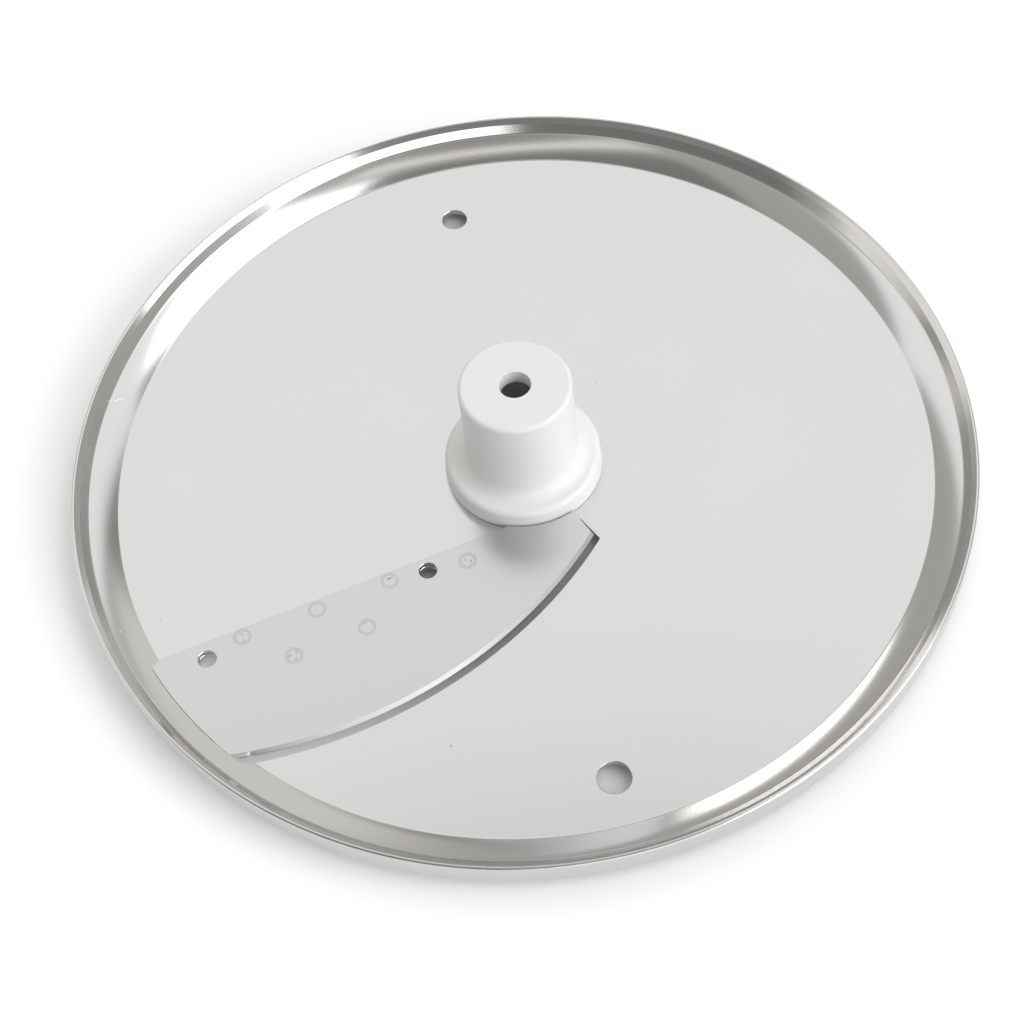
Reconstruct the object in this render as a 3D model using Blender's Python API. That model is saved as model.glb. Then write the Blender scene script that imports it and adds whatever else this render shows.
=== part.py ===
"""Slicing disc of a tabletop vegetable cutter: a pressed steel carrier disc with a
flared and hemmed rim, a curved slicing blade that lies over a slot in it, and a
moulded drive hub. Metres, +Z up, standing on the hub's lower collar."""

import bmesh
import bpy
from math import asin, atan2, ceil, cos, pi, radians, sin, sqrt, tan
from mathutils import Vector

# Fits shared by every piece.
FIT_GAP = 0.0003              # clearance between pieces that meet
CUT_PAST = 0.002              # how far a cutter reaches past the face that it opens

# Carrier disc. Heights are from the top of its flat floor.
DISC_RADIUS = 0.0875
SHEET = 0.0012
RIM_WIDTH = 0.0080            # foot of the flare to the outside of the skirt
FLARE_RUN = 0.00535
FLARE_FOOT_ANGLE = radians(32)  # the flare is a little crowned, so it leaves the floor steeper
FLARE_TOP_ANGLE = radians(23)   # than it reaches the steep wall
STEEP_RUN = 0.00115
STEEP_RISE = 0.00172
RIM_HEIGHT = 0.0055
CREST_WIDTH = 0.0006
CREST_ROUND = 0.00055
SKIRT_DEPTH = 0.0052          # crest down to the skirt's edge
SKIRT_THICKNESS = 0.00095
SKIRT_EDGE_ROUND = 0.00025
FOOT_ROUND = 0.0008
FLARE_ROOT_ROUND = 0.0006

# The two holes that face each other on one diameter, set in from the foot of the rim.
HOLE_LINE_ANGLE = radians(99.9)
SMALL_HOLE_RADIUS = 0.0026
SMALL_HOLE_INSET = 0.0144
LARGE_HOLE_RADIUS = 0.00315
LARGE_HOLE_INSET = 0.0093

# Slicing blade: a straight back, and a cutting edge that is an arc.
BLADE_THICKNESS = 0.0009
BACK_ANGLE = radians(19.0)
BACK_OFFSET = 0.01326         # disc's axis to the straight back
INNER_END_ANGLE = radians(-56.2)
EDGE_START = 0.0222           # disc's axis to the cutting edge's inner tip
EDGE_RADIUS = 0.0901
EDGE_FACING = radians(147.2)  # direction from the inner tip to the centre of the edge's arc
GROUND_BEVEL = 0.0006         # width of the ground bevel, seen from above
EDGE_LAND = 0.00015           # height left under the bevel at the cutting edge
CORNER_CUT = 0.0008
BLADE_HOLE_RADIUS = 0.0017
INNER_HOLE_ALONG = 0.02615    # along the back, from the disc's axis
INNER_HOLE_SET_IN = 0.00285   # from the straight back
OUTER_HOLE_ALONG = 0.0087     # along the back, from its outer corner
OUTER_HOLE_SET_IN = 0.0036

# Slot in the carrier disc under the cutting edge.
SLOT_THROAT = 0.0012          # cutting edge to the slot's front lip
SLOT_OVERHANG = 0.0041        # how far the blade reaches over the slot's rear lip
SLOT_END_LEAD = radians(1.4)  # slot's hub end past the blade's inner end
SLOT_INTO_RIM = 0.0020        # how far the slot runs into the flare
SLOT_CORNER_ROUND = 0.00035

# Drive hub. Heights are from the top of the disc's floor.
FLANGE_RADIUS = 0.0154
FLANGE_DRAFT = 0.00035
FLANGE_HEIGHT = 0.0043
FLANGE_TOP_ROUND = 0.0012
FLANGE_FOOT_ROUND = 0.0002
POST_HEIGHT = 0.02545
POST_TOP_RADIUS = 0.0107
POST_FOOT_RADIUS = 0.0109
POST_TOP_ROUND = 0.00085
POST_FOOT_FILLET = 0.0028
TOP_HOLE_RADIUS = 0.0030
TOP_HOLE_ROUND = 0.0002
TOP_WALL = 0.0032             # solid top of the post, over the drive socket
CORE_RADIUS = 0.0115          # neck that passes through the disc
COLLAR_RADIUS = 0.0150
COLLAR_HEIGHT = 0.0011
COLLAR_ROUND = 0.0003
SOCKET_RADIUS = 0.0075        # round part of the two-flat drive socket
SOCKET_FLATS = 0.0120         # across its two flats
SOCKET_LEAD_IN = 0.0005

# Fineness of the round surfaces.
DISC_STEPS = 108
HUB_STEPS = 60
HOLE_STEPS = 28
BEND_STEP = radians(30)
EDGE_PIECES = 24
END_PIECES = 8
FLARE_PIECES = 4
SOCKET_PIECES = 12
FILLET_SHARE = 0.98           # most of a side that the rounded corners at its ends may take

# Heights and places that follow from the sizes above.
DISC_UNDERSIDE = COLLAR_HEIGHT + FIT_GAP
FLOOR_TOP = DISC_UNDERSIDE + SHEET
RIM_FOOT_RADIUS = DISC_RADIUS - RIM_WIDTH
FLARE_RADIUS = FLARE_RUN / (sin(FLARE_FOOT_ANGLE) - sin(FLARE_TOP_ANGLE))
AXIS = Vector((0, 0))
BACK_DIRECTION = Vector((cos(BACK_ANGLE), sin(BACK_ANGLE)))
BACK_OUTWARD = Vector((sin(BACK_ANGLE), -cos(BACK_ANGLE)))


def polar(radius, angle):
    return Vector((radius * cos(angle), radius * sin(angle)))


def angle_from(centre, point):
    return atan2(point.y - centre.y, point.x - centre.x)


def arc(centre, radius, start, end, pieces):
    """Points of an arc from one angle to another, both ends included."""
    return [centre + polar(radius, start + (end - start) * k / pieces) for k in range(pieces + 1)]


def rounded(corners):
    """A closed outline from (point, radius) corners. Two that share a short side share its room."""
    count = len(corners)
    sides = [corners[(k + 1) % count][0] - corners[k][0] for k in range(count)]
    halves = [(-sides[k - 1]).angle(sides[k]) / 2 for k in range(count)]
    wanted = [corners[k][1] / tan(halves[k]) for k in range(count)]
    points = []
    for k, (corner, radius) in enumerate(corners):
        if radius == 0:
            points.append(corner)
            continue
        room = min(sides[j].length / (wanted[j] + wanted[(j + 1) % count]) for j in (k - 1, k))
        reach = wanted[k] * min(1, FILLET_SHARE * room)
        before = -sides[k - 1].normalized()
        after = sides[k].normalized()
        fitted = reach * tan(halves[k])
        centre = corner + (before + after).normalized() * fitted / sin(halves[k])
        start = angle_from(centre, corner + before * reach)
        turn = (angle_from(centre, corner + after * reach) - start + pi) % (2 * pi) - pi
        points += arc(centre, fitted, start, start + turn, ceil(abs(turn) / BEND_STEP))
    return points


def make_object(name, shape, material=None):
    """Put a finished bmesh in the scene, shaded smooth between its sharp edges."""
    bmesh.ops.recalc_face_normals(shape, faces=shape.faces)
    mesh = bpy.data.meshes.new(name)
    shape.to_mesh(mesh)
    shape.free()
    mesh.shade_smooth()
    mesh.set_sharp_from_angle(angle=radians(30))
    item = bpy.data.objects.new(name, mesh)
    bpy.context.scene.collection.objects.link(item)
    if material:
        mesh.materials.append(material)
    return item


def turned(name, outline, steps, material):
    """Spin a closed outline of (radius, height) points once round the disc's axis."""
    shape = bmesh.new()
    ring = [shape.verts.new((point.x, 0, point.y)) for point in outline]
    sides = [shape.edges.new((ring[k - 1], ring[k])) for k in range(len(ring))]
    bmesh.ops.spin(shape, geom=ring + sides, cent=(0, 0, 0), axis=(0, 0, 1), angle=2 * pi,
                   steps=steps, use_merge=True)
    return make_object(name, shape, material)


def stacked(name, levels, material=None):
    """A plate that grows from one flat outline through the next ones, as (outline, height)."""
    shape = bmesh.new()
    outline, height = levels[0]
    ring = [shape.verts.new((point.x, point.y, height)) for point in outline]
    cap = shape.faces.new(ring)
    for outline, height in levels[1:]:
        grown = bmesh.ops.extrude_face_region(shape, geom=[cap, *cap.edges])["geom"]
        cap = next(item for item in grown if isinstance(item, bmesh.types.BMFace))
        risen = set(cap.verts)
        ring = [next(side.other_vert(corner) for side in corner.link_edges
                     if side.other_vert(corner) in risen) for corner in ring]
        for corner, point in zip(ring, outline):
            corner.co = (point.x, point.y, height)
    return make_object(name, shape, material)


def cut_with(item, cutter):
    cutter.hide_render = True
    cutter.display_type = "WIRE"
    opening = item.modifiers.new(cutter.name, "BOOLEAN")
    opening.operation = "DIFFERENCE"
    opening.solver = "EXACT"
    opening.object = cutter


def drill(item, name, centre, radius, low, high):
    """Open a round hole through a piece, parallel to the disc's axis."""
    shape = bmesh.new()
    bmesh.ops.create_cone(shape, cap_ends=True, segments=HOLE_STEPS, radius1=radius, radius2=radius,
                          depth=high - low + 2 * CUT_PAST)
    bmesh.ops.translate(shape, verts=shape.verts, vec=(centre.x, centre.y, (low + high) / 2))
    cut_with(item, make_object(name, shape))


def finish(name, colour, roughness, metallic):
    material = bpy.data.materials.new(name)
    material.use_nodes = True
    shader = material.node_tree.nodes["Principled BSDF"]
    shader.inputs["Base Color"].default_value = (*colour, 1)
    shader.inputs["Roughness"].default_value = roughness
    shader.inputs["Metallic"].default_value = metallic
    return material


def flare_centre():
    """Centre of the flare's arc, in the plane of radius and height above the floor."""
    return Vector((RIM_FOOT_RADIUS, 0)) - polar(FLARE_RADIUS, pi / 2 + FLARE_FOOT_ANGLE)


def flare_radius_at(height):
    """Distance from the disc's axis to the flare at a height above the floor."""
    centre = flare_centre()
    return centre.x - sqrt(FLARE_RADIUS ** 2 - (height - centre.y) ** 2)


def edge_centre():
    return polar(EDGE_START, INNER_END_ANGLE) + polar(EDGE_RADIUS, EDGE_FACING)


def ray_to_edge(angle, radius):
    """Where a ray from the disc's axis meets an arc that shares the cutting edge's centre."""
    centre = edge_centre()
    ray = polar(1, angle)
    across = centre.dot(ray)
    return ray * (across + sqrt(across ** 2 - centre.length_squared + radius ** 2))


def rim_to_edge(rim_radius, radius):
    """Where a circle about the disc's axis meets such an arc, at the blade's outer end."""
    centre = edge_centre()
    towards = centre.normalized()
    along = (rim_radius ** 2 - radius ** 2 + centre.length_squared) / (2 * centre.length)
    aside = sqrt(rim_radius ** 2 - along ** 2)
    return towards * along + Vector((-towards.y, towards.x)) * aside


def back_point(along, set_in=0):
    """A point by its distance along the blade's back and its depth into the blade."""
    return BACK_OUTWARD * (BACK_OFFSET + set_in) + BACK_DIRECTION * along


def outer_corner_along(end_radius):
    return -sqrt(end_radius ** 2 - BACK_OFFSET ** 2)


def blade_holes():
    """Centres of the two holes that pin the blade to the disc."""
    end_radius = flare_radius_at(FIT_GAP)
    outer = outer_corner_along(end_radius) + OUTER_HOLE_ALONG
    return {"inner": back_point(-INNER_HOLE_ALONG, INNER_HOLE_SET_IN),
            "outer": back_point(outer, OUTER_HOLE_SET_IN)}


def blade_outline(height, edge_radius):
    """The blade's outline at a height above the floor, for a cutting arc of this radius."""
    end_radius = flare_radius_at(height) - FIT_GAP / sin(FLARE_FOOT_ANGLE)
    outer = outer_corner_along(end_radius)
    inner_along = BACK_OFFSET * tan(INNER_END_ANGLE - BACK_ANGLE + pi / 2)
    tip = ray_to_edge(INNER_END_ANGLE, edge_radius)
    heel = rim_to_edge(end_radius, edge_radius)
    centre = edge_centre()
    corner_angle = angle_from(AXIS, back_point(outer)) + CORNER_CUT / end_radius
    return ([back_point(outer + CORNER_CUT), back_point(inner_along)]
            + arc(centre, edge_radius, angle_from(centre, tip), angle_from(centre, heel), EDGE_PIECES)
            + arc(AXIS, end_radius, angle_from(AXIS, heel), corner_angle, END_PIECES))


def slot_outline():
    """The slot: front lip before the cutting edge, rear lip under the blade."""
    front_radius = EDGE_RADIUS + SLOT_THROAT
    rear_radius = EDGE_RADIUS - SLOT_OVERHANG
    end_radius = RIM_FOOT_RADIUS + SLOT_INTO_RIM
    hub_angle = INNER_END_ANGLE + SLOT_END_LEAD
    centre = edge_centre()
    front = [ray_to_edge(hub_angle, front_radius), rim_to_edge(end_radius, front_radius)]
    rear = [ray_to_edge(hub_angle, rear_radius), rim_to_edge(end_radius, rear_radius)]
    front_lip = arc(centre, front_radius, angle_from(centre, front[0]), angle_from(centre, front[1]),
                    EDGE_PIECES)
    outer_end = arc(AXIS, end_radius, angle_from(AXIS, front[1]), angle_from(AXIS, rear[1]), 2)
    rear_lip = arc(centre, rear_radius, angle_from(centre, rear[1]), angle_from(centre, rear[0]),
                   EDGE_PIECES)
    corners = [(front_lip[0], SLOT_CORNER_ROUND)]
    corners += [(point, 0) for point in front_lip[1:] + outer_end[1:-1] + rear_lip]
    return rounded(corners)


def disc_profile():
    """Section of the pressed disc: floor, crowned flare, steep wall, crest and skirt."""
    bore = Vector((CORE_RADIUS + FIT_GAP, FLOOR_TOP))
    floor = Vector((0, FLOOR_TOP))
    foot_angle = pi / 2 + FLARE_FOOT_ANGLE
    top_angle = pi / 2 + FLARE_TOP_ANGLE
    flare = arc(floor + flare_centre(), FLARE_RADIUS, foot_angle, top_angle, FLARE_PIECES)
    under_flare = arc(floor + flare_centre(), FLARE_RADIUS - SHEET, top_angle, foot_angle, FLARE_PIECES)
    steep_top = flare[-1] + Vector((STEEP_RUN, STEEP_RISE))
    crest = FLOOR_TOP + RIM_HEIGHT
    skirt_edge = crest - SKIRT_DEPTH
    skirt_inside = DISC_RADIUS - SKIRT_THICKNESS
    under_hem = under_flare[0].y + (skirt_inside - under_flare[0].x) * tan(FLARE_TOP_ANGLE)
    under_foot = Vector((RIM_FOOT_RADIUS + SHEET * tan(FLARE_FOOT_ANGLE / 2), DISC_UNDERSIDE))

    return rounded([(bore, 0), (flare[0], FOOT_ROUND)]
                   + [(point, 0) for point in flare[1:-1]]
                   + [(flare[-1], FLARE_ROOT_ROUND),
                      (steep_top, 0),
                      (Vector((DISC_RADIUS - CREST_WIDTH, crest)), CREST_ROUND),
                      (Vector((DISC_RADIUS, crest)), CREST_ROUND),
                      (Vector((DISC_RADIUS, skirt_edge)), SKIRT_EDGE_ROUND),
                      (Vector((skirt_inside, skirt_edge)), SKIRT_EDGE_ROUND),
                      (Vector((skirt_inside, under_hem)), 0)]
                   + [(point, 0) for point in under_flare[:-1]]
                   + [(under_foot, FOOT_ROUND + SHEET),
                      (Vector((bore.x, DISC_UNDERSIDE)), 0)])


def make_carrier_disc(steel):
    disc = turned("carrier_disc", disc_profile(), DISC_STEPS, steel)
    low = DISC_UNDERSIDE
    high = FLOOR_TOP
    drill(disc, "small_hole_cutter", polar(RIM_FOOT_RADIUS - SMALL_HOLE_INSET, HOLE_LINE_ANGLE),
          SMALL_HOLE_RADIUS, low, high)
    drill(disc, "large_hole_cutter", polar(RIM_FOOT_RADIUS - LARGE_HOLE_INSET, HOLE_LINE_ANGLE + pi),
          LARGE_HOLE_RADIUS, low, high)
    for place, centre in blade_holes().items():
        drill(disc, f"disc_{place}_pin_hole_cutter", centre, BLADE_HOLE_RADIUS, low, high)
    slot = [(slot_outline(), low - CUT_PAST), (slot_outline(), high + CUT_PAST)]
    cut_with(disc, stacked("slot_cutter", slot))


def make_slicing_blade(steel):
    low = FLOOR_TOP + FIT_GAP
    high = low + BLADE_THICKNESS
    blade = stacked("slicing_blade",
                    [(blade_outline(FIT_GAP, EDGE_RADIUS), low),
                     (blade_outline(FIT_GAP + EDGE_LAND, EDGE_RADIUS), low + EDGE_LAND),
                     (blade_outline(FIT_GAP + BLADE_THICKNESS, EDGE_RADIUS - GROUND_BEVEL), high)],
                    steel)
    drill(blade, "hub_relief_cutter", AXIS, FLANGE_RADIUS + FIT_GAP, low, high)
    for place, centre in blade_holes().items():
        drill(blade, f"blade_{place}_pin_hole_cutter", centre, BLADE_HOLE_RADIUS, low, high)


def socket_outline(widening):
    """Outline of the two-flat drive socket, widened all round for its lead-in."""
    radius = SOCKET_RADIUS + widening
    flat_angle = asin((SOCKET_FLATS / 2 + widening) / radius)
    return (arc(AXIS, radius, -flat_angle, flat_angle, SOCKET_PIECES)
            + arc(AXIS, radius, pi - flat_angle, pi + flat_angle, SOCKET_PIECES))


def hub_profile():
    """Section of the hub: collar, neck, flange, tapered post and the bored top."""
    flange_foot = FLOOR_TOP + FIT_GAP
    flange_top = FLOOR_TOP + FLANGE_HEIGHT
    top = FLOOR_TOP + POST_HEIGHT
    return rounded([(Vector((TOP_HOLE_RADIUS, 0)), 0),
                    (Vector((COLLAR_RADIUS, 0)), COLLAR_ROUND),
                    (Vector((COLLAR_RADIUS, COLLAR_HEIGHT)), COLLAR_ROUND),
                    (Vector((CORE_RADIUS, COLLAR_HEIGHT)), 0),
                    (Vector((CORE_RADIUS, flange_foot)), 0),
                    (Vector((FLANGE_RADIUS, flange_foot)), FLANGE_FOOT_ROUND),
                    (Vector((FLANGE_RADIUS - FLANGE_DRAFT, flange_top)), FLANGE_TOP_ROUND),
                    (Vector((POST_FOOT_RADIUS, flange_top)), POST_FOOT_FILLET),
                    (Vector((POST_TOP_RADIUS, top)), POST_TOP_ROUND),
                    (Vector((TOP_HOLE_RADIUS, top)), TOP_HOLE_ROUND)])


def make_drive_hub(plastic):
    hub = turned("drive_hub", hub_profile(), HUB_STEPS, plastic)
    socket = [(socket_outline(SOCKET_LEAD_IN), -CUT_PAST),
              (socket_outline(SOCKET_LEAD_IN), 0),
              (socket_outline(0), SOCKET_LEAD_IN),
              (socket_outline(0), FLOOR_TOP + POST_HEIGHT - TOP_WALL)]
    cut_with(hub, stacked("socket_cutter", socket))


def main():
    for item in list(bpy.data.objects):
        bpy.data.objects.remove(item)
    make_carrier_disc(finish("satin_stainless", (0.66, 0.65, 0.64), 0.32, 1.0))
    make_slicing_blade(finish("ground_stainless", (0.60, 0.59, 0.58), 0.30, 1.0))
    make_drive_hub(finish("white_plastic", (0.86, 0.86, 0.85), 0.38, 0.0))


main()
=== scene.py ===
"""Slicing disc of a tabletop vegetable cutter, dressed for its portrait: a pressed steel
carrier disc with a polished rim, a spot-welded slicing blade and a moulded white hub."""

from math import asin, atan2, ceil, cos, pi, radians, sin, sqrt, tan

import bmesh
import bpy
from mathutils import Matrix, Vector


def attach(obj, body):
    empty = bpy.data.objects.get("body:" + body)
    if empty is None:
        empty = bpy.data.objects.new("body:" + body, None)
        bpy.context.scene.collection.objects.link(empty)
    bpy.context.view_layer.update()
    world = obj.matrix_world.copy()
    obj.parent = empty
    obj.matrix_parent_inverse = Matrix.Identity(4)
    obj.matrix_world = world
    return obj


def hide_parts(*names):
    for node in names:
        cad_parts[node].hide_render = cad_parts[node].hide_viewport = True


MM = 0.001
UP = Vector((0, 0, 1))
ACROSS = Vector((0, -1, 0))        # normal of the plane of radius and height

FIT_GAP = 0.3 * MM
CUT_PAST = 2 * MM

# Carrier disc.
DISC_RADIUS = 87.5 * MM
SHEET = 1.2 * MM
DISC_UNDERSIDE = 1.4 * MM
FLOOR_TOP = DISC_UNDERSIDE + SHEET
RIM_WIDTH = 8.0 * MM               # foot of the flare to the outside of the skirt
RIM_FOOT_RADIUS = DISC_RADIUS - RIM_WIDTH
FLARE_RUN = 5.35 * MM
FLARE_FOOT_ANGLE = radians(32)
FLARE_TOP_ANGLE = radians(23)
FLARE_RADIUS = FLARE_RUN / (sin(FLARE_FOOT_ANGLE) - sin(FLARE_TOP_ANGLE))
FLARE_CROWN = 0.9 * FLARE_RADIUS   # leaves room at both ends for the rounds there
FLARE_ROOT_ROUND = 0.6 * MM
STEEP_RUN = 1.15 * MM
STEEP_RISE = 1.72 * MM
STEEP_TOP_ROUND = 0.25 * MM
RIM_HEIGHT = 5.5 * MM
CREST_WIDTH = 0.6 * MM
CREST_ROUND = 0.4 * MM
SKIRT_DEPTH = 5.2 * MM
SKIRT_THICKNESS = 0.95 * MM
SKIRT_EDGE_ROUND = 0.25 * MM
FOOT_ROUND = 0.8 * MM
BORE_RADIUS = 11.8 * MM
CUT_EDGE = 0.08 * MM               # burr-free chamfer round the punched openings

# Punched holes.
HOLE_LINE_ANGLE = radians(99.9)
SMALL_HOLE_RADIUS = 2.6 * MM
SMALL_HOLE_INSET = 14.4 * MM
LARGE_HOLE_RADIUS = 3.15 * MM
LARGE_HOLE_INSET = 9.3 * MM

# Slicing blade.
BLADE_BOTTOM = FLOOR_TOP + FIT_GAP
BLADE_THICKNESS = 0.9 * MM
BLADE_TOP = BLADE_BOTTOM + BLADE_THICKNESS
BACK_ANGLE = radians(19.0)
BACK_OFFSET = 13.26 * MM
INNER_END_ANGLE = radians(-56.2)
EDGE_START = 22.2 * MM
EDGE_RADIUS = 90.1 * MM
EDGE_FACING = radians(147.2)
GROUND_BEVEL = 0.6 * MM
BEVEL_LINE = 0.03 * MM             # half the width over which ground turns to rolled
EDGE_LAND = 0.15 * MM
CORNER_CUT = 0.8 * MM
BLADE_HOLE_RADIUS = 1.7 * MM
INNER_HOLE_ALONG = 26.15 * MM
INNER_HOLE_SET_IN = 2.85 * MM
OUTER_HOLE_ALONG = 8.7 * MM
OUTER_HOLE_SET_IN = 3.6 * MM
BLADE_END_GAP = 0.1 * MM            # blade's outer end to the flare
WELDS = [(-54.42, -34.75), (-40.51, -30.16), (-26.77, -25.24), (-44.77, -39.60), (-31.18, -34.89),
         (-11.88, -22.29)]         # spot welds, in millimetres from the disc's axis
WELD_RADIUS = 1.5 * MM
WELD_DEPTH = 0.025 * MM

# Small dents in the rim's outer edge: angle round the axis, depth and ball radius in millimetres.
NICKS = [(164.8, 0.04, 0.4), (188.0, 0.02, 0.3), (203.5, 0.04, 0.35), (212.6, 0.05, 0.4),
         (219.0, 0.03, 0.3), (226.5, 0.04, 0.35), (246.0, 0.03, 0.3), (262.5, 0.02, 0.3),
         (348.1, 0.06, 0.45)]

# Scratches and handling marks: start, end and width in millimetres, as seen from above.
SCRATCHES = [((-82.5, 21.4), (-81.4, 21.5), 0.16), ((-81.4, 21.5), (-79.4, 22.6), 0.16),
             ((-77.3, -31.6), (-76.8, -32.2), 0.14), ((-60.3, -60.9), (-59.8, -60.4), 0.16)]
SPECKS = [(15.7, 17.9), (-16.6, -60.2), (-70.3, -28.9)]
SPECK_RADIUS = 0.28 * MM

# Slot under the cutting edge.
SLOT_THROAT = 1.2 * MM
SLOT_OVERHANG = 4.1 * MM
SLOT_END_LEAD = radians(1.4)
SLOT_INTO_RIM = 2.0 * MM
SLOT_RIM_FLARE = 0.5 * MM           # how much the front lip opens out over the rim

# Drive hub.
FLANGE_FOOT_GAP = 0.06 * MM
FLANGE_RADIUS = 15.4 * MM
FLANGE_DRAFT = 0.35 * MM
FLANGE_HEIGHT = 4.3 * MM
FLANGE_TOP_ROUND = 1.2 * MM
FLANGE_FOOT_ROUND = 0.2 * MM
POST_HEIGHT = 25.45 * MM
POST_TOP_RADIUS = 10.7 * MM
POST_FOOT_RADIUS = 10.9 * MM
POST_TOP_ROUND = 0.85 * MM
POST_FOOT_FILLET = 2.8 * MM
TOP_HOLE_RADIUS = 3.0 * MM
TOP_HOLE_ROUND = 0.2 * MM
TOP_WALL = 3.2 * MM
CORE_RADIUS = 11.5 * MM
COLLAR_RADIUS = 15.0 * MM
COLLAR_HEIGHT = 1.1 * MM
COLLAR_ROUND = 0.3 * MM
SOCKET_RADIUS = 7.5 * MM
SOCKET_FLATS = 12.0 * MM
SOCKET_LEAD_IN = 0.5 * MM

# Fineness of the round surfaces.
DISC_STEPS = 432
HUB_STEPS = 192
HOLE_STEPS = 64
BEND_STEP = radians(7.5)
CROWN_STEP = 0.5 * MM
LONG_ARC_STEP = radians(0.6)
WELD_STEP = radians(0.6)
SAME_POINT = 1e-7
STEEL_SHARP = radians(20)          # edges of the steel sharper than this stay crisp
PLASTIC_SHARP = radians(30)


def polar(radius, angle, height=0.0):
    return Vector((radius * cos(angle), radius * sin(angle), height))


def section_point(radius, height):
    return Vector((radius, 0, height))


def climb(angle):
    """Unit vector in the plane of radius and height that climbs outwards at an angle."""
    return section_point(cos(angle), sin(angle))


def angle_from(centre, point):
    return atan2(point.y - centre.y, point.x - centre.x)


class Pen:
    """Draws a wire in one plane by extruding and spinning its last vertex."""

    def __init__(self, shape, start, normal):
        self.shape = shape
        self.normal = normal
        self.first = self.last = shape.verts.new(start)

    def run(self, point):
        """Go straight to a point. Returns the vertex made there."""
        if (self.last.co - point).length > SAME_POINT:
            self.last = bmesh.ops.extrude_vert_indiv(self.shape, verts=[self.last])["verts"][0]
            self.last.co = point
        return self.last

    def bend(self, centre, turn, step=BEND_STEP):
        """Go along an arc. Returns the arc's vertices, its first one included."""
        before = set(self.shape.verts)
        swept = bmesh.ops.spin(self.shape, geom=[self.last], cent=centre, axis=self.normal,
                               angle=turn, steps=max(1, ceil(abs(turn) / step)))
        arc = [self.last] + [corner for corner in self.shape.verts if corner not in before]
        self.last = next(item for item in swept["geom_last"]
                         if isinstance(item, bmesh.types.BMVert))
        return arc

    def corner(self, before, corner, after, radius):
        """Go to a corner and round it, ready to leave towards the next one."""
        if radius == 0:
            self.run(corner)
            return
        back = (before - corner).normalized()
        ahead = (after - corner).normalized()
        half = back.angle(ahead) / 2
        centre = corner + (back + ahead).normalized() * radius / sin(half)
        self.run(corner + back * radius / tan(half))
        turn = (2 * half - pi) * (1 if back.cross(ahead).dot(self.normal) > 0 else -1)
        self.bend(centre, turn, min(BEND_STEP, CROWN_STEP / radius))

    def close(self):
        self.shape.edges.new((self.last, self.first))


def draw_section(corners):
    """A closed section in the plane of radius and height, from (point, rounding radius) corners."""
    shape = bmesh.new()
    pen = Pen(shape, corners[0][0], ACROSS)
    count = len(corners)
    for k in range(1, count):
        corner, radius = corners[k]
        pen.corner(corners[k - 1][0], corner, corners[(k + 1) % count][0], radius)
    pen.close()
    return shape


def spin_round(shape, steps):
    """Turn everything in the shape once round the disc's axis."""
    bmesh.ops.spin(shape, geom=shape.verts[:] + shape.edges[:], cent=(0, 0, 0), axis=UP,
                   angle=2 * pi, steps=steps, use_merge=True)
    bmesh.ops.remove_doubles(shape, verts=shape.verts, dist=SAME_POINT / 10)
    bmesh.ops.recalc_face_normals(shape, faces=shape.faces)


def raise_outline(shape, heights):
    """Fill a flat wire and extrude it through heights. Returns each level's vertex map."""
    outline = [corner for corner in shape.verts]
    face = bmesh.ops.contextual_create(shape, geom=shape.edges[:])["faces"][0]
    for corner in outline:
        corner.co.z = heights[0]
    levels = [{corner: corner for corner in outline}]
    for height in heights[1:]:
        grown = bmesh.ops.extrude_face_region(shape, geom=[face, *face.edges])["geom"]
        face = next(item for item in grown if isinstance(item, bmesh.types.BMFace))
        risen = set(face.verts)
        below = levels[-1]
        levels.append({start: next(side.other_vert(now) for side in now.link_edges
                                   if side.other_vert(now) in risen)
                       for start, now in below.items()})
        for corner in face.verts:
            corner.co.z = height
    return levels


def scale_about(shape, corners, centre, factor):
    """Move the vertices of an arc in or out from its centre."""
    bmesh.ops.scale(shape, vec=(factor, factor, 1), space=Matrix.Translation(-centre),
                    verts=corners)


def add_object(name, shape, materials=()):
    mesh = bpy.data.meshes.new(name)
    shape.to_mesh(mesh)
    shape.free()
    for material in materials:
        mesh.materials.append(material)
    item = bpy.data.objects.new(name, mesh)
    bpy.context.scene.collection.objects.link(item)
    return item


def cut_away(piece, cutters):
    """Take the cutters' shapes out of a piece for good."""
    for cutter in cutters:
        opening = piece.modifiers.new(cutter.name, "BOOLEAN")
        opening.operation = "DIFFERENCE"
        opening.solver = "EXACT"
        opening.object = cutter
    graph = bpy.context.evaluated_depsgraph_get()
    mesh = bpy.data.meshes.new_from_object(piece.evaluated_get(graph))
    piece.modifiers.clear()
    piece.data = mesh
    for cutter in cutters:
        bpy.data.objects.remove(cutter)


def dress(piece, node, sharp):
    """Smooth a finished piece between its sharp edges and let it stand for a CAD node."""
    piece.data.shade_smooth()
    piece.data.set_sharp_from_angle(angle=sharp)
    flat_faces = piece.modifiers.new("flat_faces", "WEIGHTED_NORMAL")
    flat_faces.keep_sharp = True
    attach(piece, "root")
    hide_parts(node)


def punch(name, centre, radius, low, high, chamfer=CUT_EDGE):
    """A cutter for a round hole whose top edge is chamfered."""
    shape = draw_section([(section_point(0, low - CUT_PAST), 0),
                          (section_point(radius, low - CUT_PAST), 0),
                          (section_point(radius, high - chamfer), 0),
                          (section_point(radius + 2 * chamfer, high + chamfer), 0),
                          (section_point(radius + 2 * chamfer, high + CUT_PAST), 0),
                          (section_point(0, high + CUT_PAST), 0)])
    spin_round(shape, HOLE_STEPS)
    bmesh.ops.translate(shape, verts=shape.verts, vec=(centre.x, centre.y, 0))
    return add_object(name, shape)


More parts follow.
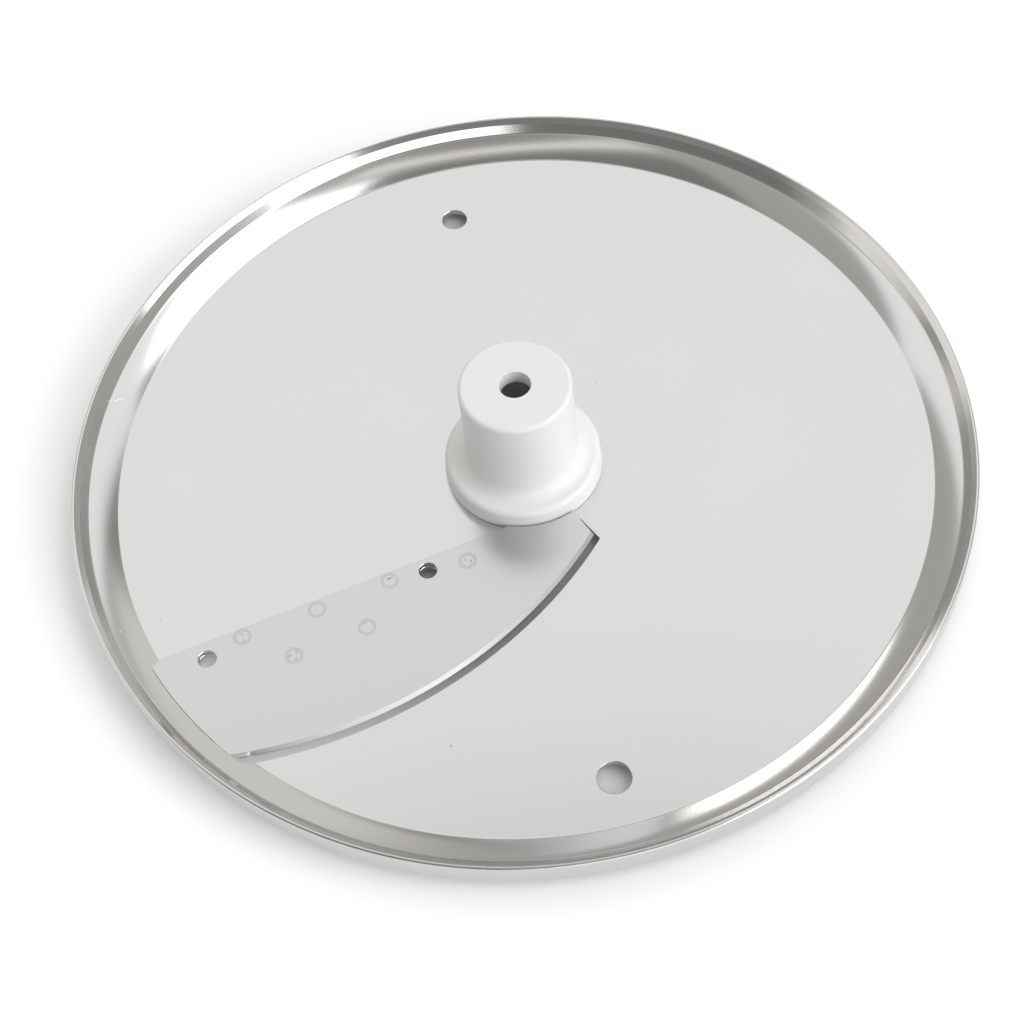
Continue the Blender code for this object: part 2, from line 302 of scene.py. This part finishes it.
def weld_cutter(spot):
    """A cutter for the shallow dimple that an electrode leaves."""
    ball = (WELD_RADIUS ** 2 + WELD_DEPTH ** 2) / (2 * WELD_DEPTH)
    bottom = section_point(0, BLADE_TOP - WELD_DEPTH)
    shape = bmesh.new()
    pen = Pen(shape, bottom, ACROSS)
    pen.bend(bottom + UP * ball, asin(1.3 * WELD_RADIUS / ball), WELD_STEP)
    pen.run(section_point(0, BLADE_TOP + CUT_PAST))
    pen.close()
    spin_round(shape, HOLE_STEPS // 2)
    bmesh.ops.translate(shape, verts=shape.verts, vec=(spot[0] * MM, spot[1] * MM, 0))
    return add_object("weld_cutter", shape)


def nick_cutter(angle, depth, size):
    """A cutter for a small dent in the rim's outer edge."""
    shape = bmesh.new()
    bmesh.ops.create_icosphere(shape, subdivisions=3, radius=size * MM)
    reach = (size - depth) * MM + CREST_ROUND
    crest = section_point(DISC_RADIUS - CREST_ROUND, FLOOR_TOP + RIM_HEIGHT - CREST_ROUND)
    place = crest + climb(pi / 4) * reach
    bmesh.ops.translate(shape, verts=shape.verts, vec=polar(place.x, radians(angle), place.z))
    return add_object("nick_cutter", shape)


def flare_radius_at(height):
    """Distance from the disc's axis to the flare at a height above the floor."""
    centre = section_point(RIM_FOOT_RADIUS, 0) + climb(FLARE_FOOT_ANGLE - pi / 2) * FLARE_RADIUS
    return centre.x - sqrt(FLARE_RADIUS ** 2 - (height - centre.z) ** 2)


EDGE_CENTRE = polar(EDGE_START, INNER_END_ANGLE) + polar(EDGE_RADIUS, EDGE_FACING)
BACK_DIRECTION = polar(1, BACK_ANGLE)
BACK_OUTWARD = polar(1, BACK_ANGLE - pi / 2)


def ray_to_edge(angle, radius):
    """Where a ray from the disc's axis meets an arc that shares the cutting edge's centre."""
    ray = polar(1, angle)
    across = EDGE_CENTRE.dot(ray)
    return ray * (across + sqrt(across ** 2 - EDGE_CENTRE.length_squared + radius ** 2))


def rim_to_edge(rim_radius, radius):
    """Where a circle about the disc's axis meets such an arc, at the blade's outer end."""
    towards = EDGE_CENTRE.normalized()
    along = (rim_radius ** 2 - radius ** 2 + EDGE_CENTRE.length_squared) / (2 * EDGE_CENTRE.length)
    aside = sqrt(rim_radius ** 2 - along ** 2)
    return towards * along + UP.cross(towards) * aside


def back_point(along, set_in=0.0):
    """A point by its distance along the blade's back and its depth into the blade."""
    return BACK_OUTWARD * (BACK_OFFSET + set_in) + BACK_DIRECTION * along


def pin_holes():
    """Centres of the two holes through blade and disc."""
    outer_corner = -sqrt(flare_radius_at(FIT_GAP) ** 2 - BACK_OFFSET ** 2)
    return [back_point(-INNER_HOLE_ALONG, INNER_HOLE_SET_IN),
            back_point(outer_corner + OUTER_HOLE_ALONG, OUTER_HOLE_SET_IN)]


def arc_to(pen, centre, point, step):
    """Take the pen along an arc about a centre to a point. Returns the arc's vertices."""
    turn = angle_from(centre, point) - angle_from(centre, pen.last.co)
    turn = (turn + pi) % (2 * pi) - pi
    return pen.bend(centre, turn, step)


def slot_cutter():
    """The slot: its front lip before the cutting edge, its rear lip under the blade."""
    front_radius = EDGE_RADIUS + SLOT_THROAT
    rear_radius = EDGE_RADIUS - SLOT_OVERHANG
    rim_radius = RIM_FOOT_RADIUS + SLOT_INTO_RIM
    hub_angle = INNER_END_ANGLE + SLOT_END_LEAD
    shape = bmesh.new()
    pen = Pen(shape, ray_to_edge(hub_angle, front_radius), UP)
    front = arc_to(pen, EDGE_CENTRE, rim_to_edge(RIM_FOOT_RADIUS, front_radius), LONG_ARC_STEP)
    front.append(pen.run(rim_to_edge(rim_radius, front_radius + SLOT_RIM_FLARE)))
    arc_to(pen, Vector(), rim_to_edge(rim_radius, rear_radius), LONG_ARC_STEP)
    arc_to(pen, EDGE_CENTRE, ray_to_edge(hub_angle, rear_radius), LONG_ARC_STEP)
    pen.close()
    levels = raise_outline(shape, [DISC_UNDERSIDE - CUT_PAST, FLOOR_TOP - CUT_EDGE,
                                   FLOOR_TOP + CUT_EDGE, FLOOR_TOP + CUT_PAST])
    widening = 1 + 2 * CUT_EDGE / front_radius
    for level in levels[2:]:
        scale_about(shape, [level[corner] for corner in front], EDGE_CENTRE, widening)
    bmesh.ops.recalc_face_normals(shape, faces=shape.faces)
    return add_object("slot_cutter", shape)


def disc_corners():
    """Section of the pressed disc: floor, crowned flare, steep wall, crest and skirt."""
    foot = section_point(RIM_FOOT_RADIUS, FLOOR_TOP)
    crown = (FLARE_FOOT_ANGLE - FLARE_TOP_ANGLE) / 2
    crown_reach = FLARE_RADIUS * tan(crown)
    knee = foot + climb(FLARE_FOOT_ANGLE) * crown_reach
    root = knee + climb(FLARE_TOP_ANGLE) * crown_reach
    steep_top = root + section_point(STEEP_RUN, STEEP_RISE)
    crest = FLOOR_TOP + RIM_HEIGHT
    skirt_edge = crest - SKIRT_DEPTH
    skirt_inside = DISC_RADIUS - SKIRT_THICKNESS
    under_foot = foot + section_point(SHEET * tan(FLARE_FOOT_ANGLE / 2), -SHEET)
    under_knee = knee + climb(FLARE_FOOT_ANGLE - crown - pi / 2) * SHEET / cos(crown)
    under_run = (skirt_inside - under_knee.x) / cos(FLARE_TOP_ANGLE)
    under_hem = under_knee + climb(FLARE_TOP_ANGLE) * under_run
    return [(section_point(BORE_RADIUS, DISC_UNDERSIDE), 0),
            (section_point(BORE_RADIUS, FLOOR_TOP), 0),
            (foot, FOOT_ROUND), (knee, FLARE_CROWN),
            (root, FLARE_ROOT_ROUND), (steep_top, STEEP_TOP_ROUND),
            (section_point(DISC_RADIUS - CREST_WIDTH, crest), CREST_ROUND),
            (section_point(DISC_RADIUS, crest), CREST_ROUND),
            (section_point(DISC_RADIUS, skirt_edge), SKIRT_EDGE_ROUND),
            (section_point(skirt_inside, skirt_edge), SKIRT_EDGE_ROUND),
            (under_hem, 0), (under_knee, FLARE_CROWN - SHEET), (under_foot, FOOT_ROUND + SHEET)]


def make_disc(steel):
    shape = draw_section(disc_corners())
    spin_round(shape, DISC_STEPS)
    disc = add_object("disc", shape, [steel])
    low, high = DISC_UNDERSIDE, FLOOR_TOP
    small_hole = polar(RIM_FOOT_RADIUS - SMALL_HOLE_INSET, HOLE_LINE_ANGLE)
    large_hole = polar(RIM_FOOT_RADIUS - LARGE_HOLE_INSET, HOLE_LINE_ANGLE + pi)
    cutters = [punch("small_hole_cutter", small_hole, SMALL_HOLE_RADIUS, low, high),
               punch("large_hole_cutter", large_hole, LARGE_HOLE_RADIUS, low, high),
               slot_cutter()]
    cutters += [punch("pin_hole_cutter", centre, BLADE_HOLE_RADIUS, low, high)
                for centre in pin_holes()]
    cutters += [nick_cutter(*nick) for nick in NICKS]
    cut_away(disc, cutters)
    dress(disc, "carrier_disc", STEEL_SHARP)


def blade_end_radius(height):
    """Distance from the disc's axis to the blade's outer end at a height above the floor."""
    return flare_radius_at(height) - BLADE_END_GAP / sin(FLARE_FOOT_ANGLE)


def make_blade(steel):
    end_radius = blade_end_radius(FIT_GAP)
    outer = -sqrt(end_radius ** 2 - BACK_OFFSET ** 2)
    inner_along = BACK_OFFSET * tan(INNER_END_ANGLE - BACK_ANGLE + pi / 2)
    shape = bmesh.new()
    pen = Pen(shape, back_point(outer + CORNER_CUT), UP)
    pen.run(back_point(inner_along))
    pen.run(ray_to_edge(INNER_END_ANGLE, EDGE_RADIUS))
    edge = arc_to(pen, EDGE_CENTRE, rim_to_edge(end_radius, EDGE_RADIUS), LONG_ARC_STEP)
    corner = polar(end_radius, angle_from(Vector(), back_point(outer)) + CORNER_CUT / end_radius)
    end = arc_to(pen, Vector(), corner, LONG_ARC_STEP)
    pen.close()
    levels = raise_outline(shape, [BLADE_BOTTOM, BLADE_BOTTOM + EDGE_LAND, BLADE_TOP])
    for level, height in zip(levels[1:], (FIT_GAP + EDGE_LAND, FIT_GAP + BLADE_THICKNESS)):
        scale_about(shape, [level[k] for k in end], Vector(), blade_end_radius(height) / end_radius)
    scale_about(shape, [levels[2][k] for k in edge], EDGE_CENTRE,
                (EDGE_RADIUS - GROUND_BEVEL) / EDGE_RADIUS)
    bmesh.ops.recalc_face_normals(shape, faces=shape.faces)
    blade = add_object("blade", shape, [steel])
    cutters = [punch("pin_hole_cutter", centre, BLADE_HOLE_RADIUS, BLADE_BOTTOM, BLADE_TOP)
               for centre in pin_holes()]
    cutters += [weld_cutter(spot) for spot in WELDS]
    cutters.append(punch("hub_relief_cutter", Vector(), FLANGE_RADIUS + FIT_GAP,
                         BLADE_BOTTOM, BLADE_TOP))
    cut_away(blade, cutters)
    dress(blade, "slicing_blade", STEEL_SHARP)


def hub_corners():
    """Section of the hub: collar, neck, flange, tapered post and the bored top."""
    flange_foot = FLOOR_TOP + FLANGE_FOOT_GAP
    flange_top = FLOOR_TOP + FLANGE_HEIGHT
    top = FLOOR_TOP + POST_HEIGHT
    return [(section_point(TOP_HOLE_RADIUS, 0), 0),
            (section_point(COLLAR_RADIUS, 0), COLLAR_ROUND),
            (section_point(COLLAR_RADIUS, COLLAR_HEIGHT), COLLAR_ROUND),
            (section_point(CORE_RADIUS, COLLAR_HEIGHT), 0),
            (section_point(CORE_RADIUS, flange_foot), 0),
            (section_point(FLANGE_RADIUS, flange_foot), FLANGE_FOOT_ROUND),
            (section_point(FLANGE_RADIUS - FLANGE_DRAFT, flange_top), FLANGE_TOP_ROUND),
            (section_point(POST_FOOT_RADIUS, flange_top), POST_FOOT_FILLET),
            (section_point(POST_TOP_RADIUS, top), POST_TOP_ROUND),
            (section_point(TOP_HOLE_RADIUS, top), TOP_HOLE_ROUND)]


def socket_cutter():
    """The two-flat drive socket, open below, with its lead-in."""
    shape = bmesh.new()
    half_turn = asin(SOCKET_FLATS / 2 / SOCKET_RADIUS)
    pen = Pen(shape, polar(SOCKET_RADIUS, -half_turn), UP)
    pen.bend(Vector(), 2 * half_turn)
    pen.run(polar(SOCKET_RADIUS, pi - half_turn))
    pen.bend(Vector(), 2 * half_turn)
    pen.close()
    ceiling = FLOOR_TOP + POST_HEIGHT - TOP_WALL
    levels = raise_outline(shape, [-CUT_PAST, 0, SOCKET_LEAD_IN, ceiling])
    for level in levels[:2]:
        scale_about(shape, list(level.values()), Vector(), 1 + SOCKET_LEAD_IN / SOCKET_RADIUS)
    bmesh.ops.recalc_face_normals(shape, faces=shape.faces)
    return add_object("socket_cutter", shape)


def make_hub(plastic):
    shape = draw_section(hub_corners())
    spin_round(shape, HUB_STEPS)
    hub = add_object("hub", shape, [plastic])
    cut_away(hub, [socket_cutter()])
    dress(hub, "drive_hub", PLASTIC_SHARP)


class Socket:
    """A node's output that takes part in Python's arithmetic."""

    def __init__(self, board, output):
        self.board = board
        self.output = output

    def maths(self, operation, *operands):
        return self.board.node("Math", {"operation": operation}, dict(enumerate(operands)))

    def __add__(self, other):
        return self.maths("ADD", self, other)

    def __sub__(self, other):
        return self.maths("SUBTRACT", self, other)

    def __rsub__(self, other):
        return self.maths("SUBTRACT", other, self)

    def __mul__(self, other):
        return self.maths("MULTIPLY", self, other)

    def __truediv__(self, other):
        return self.maths("DIVIDE", self, other)

    def __rtruediv__(self, other):
        return self.maths("DIVIDE", other, self)

    __radd__ = __add__
    __rmul__ = __mul__


class Board:
    """The node tree of one material, or of the world."""

    def __init__(self, owner):
        owner.use_nodes = True
        self.tree = owner.node_tree
        self.tree.nodes.clear()

    def node(self, kind, settings, inputs, output=0):
        """Add a node: its settings first, then the values or links of its sockets."""
        made = self.tree.nodes.new("ShaderNode" + kind)
        for name, value in settings.items():
            setattr(made, name, value)
        for name, value in inputs.items():
            if isinstance(value, Socket):
                self.tree.links.new(value.output, made.inputs[name])
            else:
                made.inputs[name].default_value = value
        return Socket(self, made.outputs[output] if made.outputs else None)

    def place(self):
        """Object coordinates: the place itself, the place seen from above, and x, y and z."""
        where = self.node("TexCoord", {}, {}, "Object")
        plan = self.node("VectorMath", {"operation": "MULTIPLY"}, {0: where, 1: (1, 1, 0)})
        axes = [self.node("SeparateXYZ", {}, {"Vector": where}, axis) for axis in "XYZ"]
        return where, plan, axes

    def noise(self, vector, scale, detail=2.0, roughness=0.5):
        """Noise from 0 to 1, with its scale in waves per unit of the vector."""
        return self.node("TexNoise", {}, {"Vector": vector, "Scale": scale, "Detail": detail,
                                          "Roughness": roughness}, "Fac")

    def ramp(self, value, none, full):
        """A smooth step: 0 where the value is at the first limit, 1 at the second."""
        return self.node("MapRange", {"interpolation_type": "SMOOTHSTEP"},
                         {"Value": value, "From Min": none, "From Max": full})

    def blend(self, factor, first, second):
        """A mix of two colours."""
        return self.node("Mix", {"data_type": "RGBA"}, {0: factor, 6: first, 7: second}, 2)

    def away_from(self, plan, spot):
        """Distance, seen from above, to a place given in millimetres."""
        place = (spot[0] * MM, spot[1] * MM, 0)
        return self.node("VectorMath", {"operation": "DISTANCE"}, {0: plan, 1: place}, "Value")

    def off_scratch(self, plan, start, end, width):
        """How far outside a scratch, a slim oval between two places: 1 is its outline."""
        length = (Vector(end) - Vector(start)).length * MM
        detour = self.away_from(plan, start) + self.away_from(plan, end) - length
        return detour * (2 * length / (width * MM) ** 2)

    def least(self, values):
        """The smallest of several values."""
        smallest = values[0]
        for value in values[1:]:
            smallest = smallest.maths("MINIMUM", smallest, value)
        return smallest

    def bump(self, height, distance):
        return self.node("Bump", {}, {"Height": height, "Distance": distance, "Strength": 1.0})

    def surface(self, **inputs):
        """Finish a material with one shader, whose sockets are named with underscores."""
        sockets = {name.replace("_", " "): value for name, value in inputs.items()}
        shader = self.node("BsdfPrincipled", {}, sockets)
        self.node("OutputMaterial", {}, {"Surface": shader})


def new_material(name):
    material = bpy.data.materials.new(name)
    return material, Board(material)


def grey(level, warmth=0.0):
    """An opaque grey, a little yellow with warmth."""
    return (level * (1 + warmth / 2), level, level * (1 - warmth), 1)


# Scales of the finishes, in waves per metre, and the depth of their relief.
DISC_CLOUD = 35.0
BLADE_CLOUD = 60.0
HUB_CLOUD = 120.0
SHEET_GRAIN = 2600.0
WELD_BLOTS = 1100.0
MOULD_SKIN = 1500.0
LATHE_LINES = 1500.0               # lines across the polished rim
LATHE_REACH = 3.0                  # how soon a line changes on its way round
GRAIN_DEPTH = 0.004 * MM
SKIN_DEPTH = 0.01 * MM


def disc_finish():
    """Satin rolled sheet, polished where the rim was pressed and turned, with a few scratches."""
    material, board = new_material("satin_stainless")
    where, plan, (x, y, z) = board.place()
    radius = board.away_from(plan, (0, 0))
    rim = board.ramp(radius, RIM_FOOT_RADIUS - 0.4 * MM, RIM_FOOT_RADIUS + 0.6 * MM)
    skirt = board.ramp(radius, DISC_RADIUS - 0.25 * MM, DISC_RADIUS - 0.05 * MM)
    cloud = board.noise(where, DISC_CLOUD, detail=3.0)
    grain = board.noise(where, SHEET_GRAIN)
    around = board.node("CombineXYZ", {}, {"X": x / radius, "Y": y / radius,
                                           "Z": (radius + z) * LATHE_LINES})
    streak = board.noise(around, LATHE_REACH, detail=3.0, roughness=0.6)
    colour = board.blend(cloud, grey(0.645, 0.012), grey(0.675, 0.006))
    rim_colour = board.blend(streak, grey(0.63, 0.01), grey(0.67, 0.01))
    colour = board.blend(rim, colour, rim_colour)
    scratch = board.least([board.off_scratch(plan, *place) for place in SCRATCHES])
    scratched = board.ramp(scratch, 1.3, 0.7)
    speck = board.least([board.away_from(plan, spot) for spot in SPECKS])
    specked = board.ramp(speck, SPECK_RADIUS, 0.3 * SPECK_RADIUS) * board.ramp(grain, 0.35, 0.6)
    colour = board.blend(scratched, colour, grey(0.92))
    colour = board.blend(specked, colour, grey(0.30, 0.1))
    rough = 0.16 + 0.04 * cloud + 0.04 * grain
    rim_rough = 0.10 + 0.06 * streak + 0.12 * skirt
    rough = rough + rim * (rim_rough - rough) + 0.4 * scratched
    board.surface(Base_Color=colour, Metallic=1.0, Roughness=rough,
                  Normal=board.bump(grain, GRAIN_DEPTH))
    return material


def blade_finish():
    """Rolled sheet, ground matt along the bevel, with the faint rings of the spot welds."""
    material, board = new_material("ground_stainless")
    where, plan = board.place()[:2]
    cloud = board.noise(where, BLADE_CLOUD, detail=3.0)
    grain = board.noise(where, SHEET_GRAIN)
    blot = board.noise(where, WELD_BLOTS)
    from_edge = EDGE_RADIUS - board.away_from(plan, EDGE_CENTRE / MM)
    bevel = board.ramp(from_edge, GROUND_BEVEL + BEVEL_LINE, GROUND_BEVEL - BEVEL_LINE)
    weld = board.least([board.away_from(plan, spot) for spot in WELDS])
    ring = (board.ramp(weld, 0.6 * WELD_RADIUS, WELD_RADIUS)
            * board.ramp(weld, 1.3 * WELD_RADIUS, WELD_RADIUS))
    burnt = board.ramp(weld, WELD_RADIUS, 0.2 * WELD_RADIUS) * board.ramp(blot, 0.56, 0.66)
    colour = board.blend(cloud, grey(0.59, 0.018), grey(0.62, 0.014))
    colour = board.blend(0.35 * ring, colour, grey(0.42, 0.06))
    colour = board.blend(0.8 * burnt, colour, grey(0.22, 0.08))
    colour = board.blend(bevel, colour, grey(0.46))
    rough = 0.17 + 0.05 * cloud + 0.04 * grain + 0.1 * ring
    board.surface(Base_Color=colour, Metallic=1.0, Roughness=rough + 0.16 * bevel,
                  Normal=board.bump(grain, GRAIN_DEPTH))
    return material


def hub_finish():
    """Smooth white moulding."""
    material, board = new_material("white_plastic")
    where = board.place()[0]
    cloud = board.noise(where, HUB_CLOUD, detail=3.0)
    skin = board.noise(where, MOULD_SKIN)
    board.surface(Base_Color=board.blend(cloud, grey(0.84, 0.015), grey(0.87, 0.01)),
                  Roughness=0.34 + 0.08 * cloud, Normal=board.bump(skin, SKIN_DEPTH))
    return material


TABLE_HALF = 8.0                   # half the table's side, in metres
TABLE_WHITE = 0.93
TABLE_PAINTED_SHADE = 0.6                  # painted shade: the table's darker tone under the disc, away from the blade's end
TABLE_GLOW = (0.96, 0.97, 1.02, 1)


def table_finish():
    """White table that reads as white to the camera, and as painted shade through the disc's holes:
    darker colour and weaker glow under the disc, with a painted pool of light under the blade's
    outer end.
    """
    material, board = new_material("white_table")
    camera, gloss, glass = [board.node("LightPath", {}, {}, name) for name in
                            ("Is Camera Ray", "Is Glossy Ray", "Is Transmission Ray")]
    plan, (x, y, z) = board.place()[1:]
    clear = board.ramp(board.away_from(plan, (0, 0)), DISC_RADIUS - 7 * MM, DISC_RADIUS + 1 * MM)
    # painted light: a bright patch of table under the blade's outer end, where the slot lets light
    # through
    slot_end_painted_light = board.ramp(x + y, -35 * MM, -105 * MM)
    # painted shade: the table's colour is turned down under the disc, except under the blade's
    # outer end
    under = board.blend(slot_end_painted_light, grey(TABLE_PAINTED_SHADE), grey(TABLE_WHITE))
    lit = board.node("BsdfDiffuse", {}, {"Color": board.blend(clear, under, grey(TABLE_WHITE))})
    # glow is full outside the disc for the white backdrop, weak under the disc as painted shade,
    # and full again under the blade's outer end as painted light
    strength = 0.03 + 0.16 * clear + 0.16 * (slot_end_painted_light - slot_end_painted_light * clear)
    glow = board.node("Emission", {}, {"Color": TABLE_GLOW,
                                       "Strength": (camera + gloss + glass) * strength})
    both = board.node("AddShader", {}, {0: lit, 1: glow})
    board.node("OutputMaterial", {}, {"Surface": both})
    return material


def make_table():
    shape = bmesh.new()
    bmesh.ops.create_grid(shape, x_segments=2, y_segments=2, size=TABLE_HALF)
    table = add_object("table", shape, [table_finish()])


COOL = (0.96, 0.98, 1.03)
CLEAR = (0.97, 0.98, 1.02)
WARM = (1.0, 0.98, 0.95)
WARM_SHADE = (1.0, 0.98, 0.92)
BROWN_SHADE = (1.0, 0.97, 0.90)
# Azimuth, half width, lowest and highest elevation and soft edge in degrees, strength, colour.
WINDOWS = [
    (90, 62, 37, 68, 3, 0.64, CLEAR),           # broad window behind
    (-6, 33, 49, 72, 3, 2.3, COOL),             # high window on the right
    (-28, 26, 20, 44, 4, 3.7, COOL),            # lower window on the right
    (-66, 27, 2, 24, 4, 1.9, CLEAR),            # low window in front, on the right
    (107, 9, 3, 15, 2, 2.2, WARM),              # low bright patch behind
    (70, 15, 7, 32, 4, 0.35, WARM),             # wall behind, below the broad window
    (90, 16, -4, 6, 2, -0.2, WARM),             # its dark foot
    (41, 11, 27, 41, 3, -0.18, WARM),           # its dark right corner
    (265, 80, 75.5, 80, 1.5, 0.55, WARM),       # thin strip over the camera
    (265, 75, 36, 73, 3, -0.24, WARM_SHADE),    # dark side behind the camera
    (265, 110, 82, 95, 2, -0.12, WARM_SHADE),   # dark ceiling
    (234, 34, 2, 34, 5, -0.27, BROWN_SHADE),    # dark corner in front, on the left
    (168, 22, 3, 36, 5, 0.55, WARM),            # pale wall on the left
]
ROOM_LIGHT = (0.50, 0.488, 0.46)
DEGREES = 180 / pi


def light_room():
    """Soft windows to the right and behind, over a dim warm room."""
    world = bpy.data.worlds.new("studio")
    bpy.context.scene.world = world
    board = Board(world)
    heading = board.node("TexCoord", {}, {}, "Generated")
    x, y, z = [board.node("SeparateXYZ", {}, {"Vector": heading}, axis) for axis in "XYZ"]
    elevation = z.maths("ARCSINE", z) * DEGREES
    bearing = y.maths("ARCTAN2", y, x) * DEGREES
    total = ROOM_LIGHT
    for azimuth, half_width, low, high, soft, strength, colour in WINDOWS:
        turned = bearing.maths("PINGPONG", bearing - azimuth, 180)
        shape = (board.ramp(turned, half_width + soft, half_width - soft)
                 * board.ramp(elevation, low - soft, low + soft)
                 * board.ramp(elevation, high + soft, high - soft))
        light = board.node("VectorMath", {"operation": "SCALE"},
                           {0: colour, "Scale": shape * strength})
        total = board.node("VectorMath", {"operation": "ADD"}, {0: total, 1: light})
    backing = board.node("Background", {}, {"Color": total, "Strength": 1.0})
    board.node("OutputWorld", {}, {"Surface": backing})


CAMERA_LENS = 69.82
CAMERA_SHIFT = (-0.0607, -0.0031)
CAMERA_ELEVATION = radians(56.88)
CAMERA_ROLL = radians(-4.87)
CAMERA_DISTANCE = 382.43 * MM
CAMERA_TARGET = Vector((9.01 * MM, -11.90 * MM, FLOOR_TOP))


def make_camera():
    """The photograph's viewpoint, solved from the outlines of rim, floor, hub and holes."""
    data = bpy.data.cameras.new("camera")
    data.sensor_width = 36
    data.lens = CAMERA_LENS
    data.shift_x, data.shift_y = CAMERA_SHIFT
    data.clip_start = 0.01
    back = Vector((0, -cos(CAMERA_ELEVATION), sin(CAMERA_ELEVATION)))
    camera = bpy.data.objects.new("camera", data)
    camera.matrix_world = (Matrix.Translation(CAMERA_TARGET + back * CAMERA_DISTANCE)
                           @ Matrix.Rotation(pi / 2 - CAMERA_ELEVATION, 4, "X")
                           @ Matrix.Rotation(CAMERA_ROLL, 4, "Z"))
    bpy.context.scene.collection.objects.link(camera)
    bpy.context.scene.camera = camera


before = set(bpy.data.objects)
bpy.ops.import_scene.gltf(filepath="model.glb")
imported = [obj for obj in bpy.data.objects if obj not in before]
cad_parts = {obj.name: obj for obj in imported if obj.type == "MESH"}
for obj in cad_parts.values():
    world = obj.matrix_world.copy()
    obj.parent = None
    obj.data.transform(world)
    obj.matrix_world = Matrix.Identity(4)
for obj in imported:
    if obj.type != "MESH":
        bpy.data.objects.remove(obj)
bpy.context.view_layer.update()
bpy.context.scene.view_settings.view_transform = "Standard"
make_camera()
light_room()
make_table()
make_disc(disc_finish())
make_blade(blade_finish())
make_hub(hub_finish())
bpy.context.view_layer.update()
